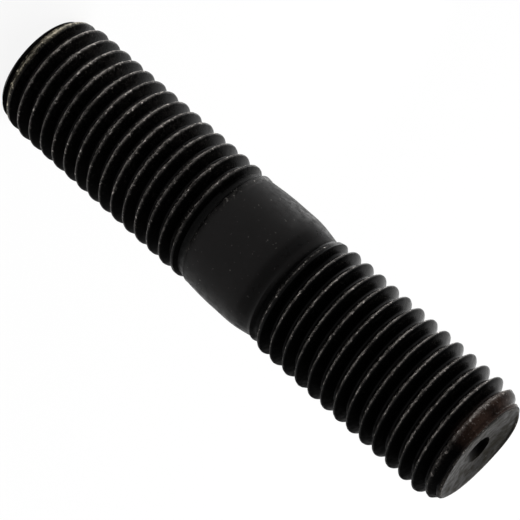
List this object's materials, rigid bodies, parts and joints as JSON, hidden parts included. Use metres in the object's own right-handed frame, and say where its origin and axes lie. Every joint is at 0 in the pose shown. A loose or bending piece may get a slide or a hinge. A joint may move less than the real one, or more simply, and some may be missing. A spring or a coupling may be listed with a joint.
{
  "type": "double-ended sprocket stud bolt",
  "caption": "Headless black steel stud with a fine right-hand thread on both ends and a plain crowned shank between, for fixing a chain sprocket to its carrier.",
  "frame": {"origin": "centre of the flat lower end face, on which the stud stands", "axes": "+Z along the stud's axis, from the plain lower end to the dished upper end with the centre mark; +X and +Y are across the axis"},
  "size_m": [0.0098, 0.0098, 0.0444],
  "materials": {
    "black_oxide_steel": "satin"
  },
  "bodies": {
    "root": {"stud": "black_oxide_steel"}
  },
  "joints": []
}
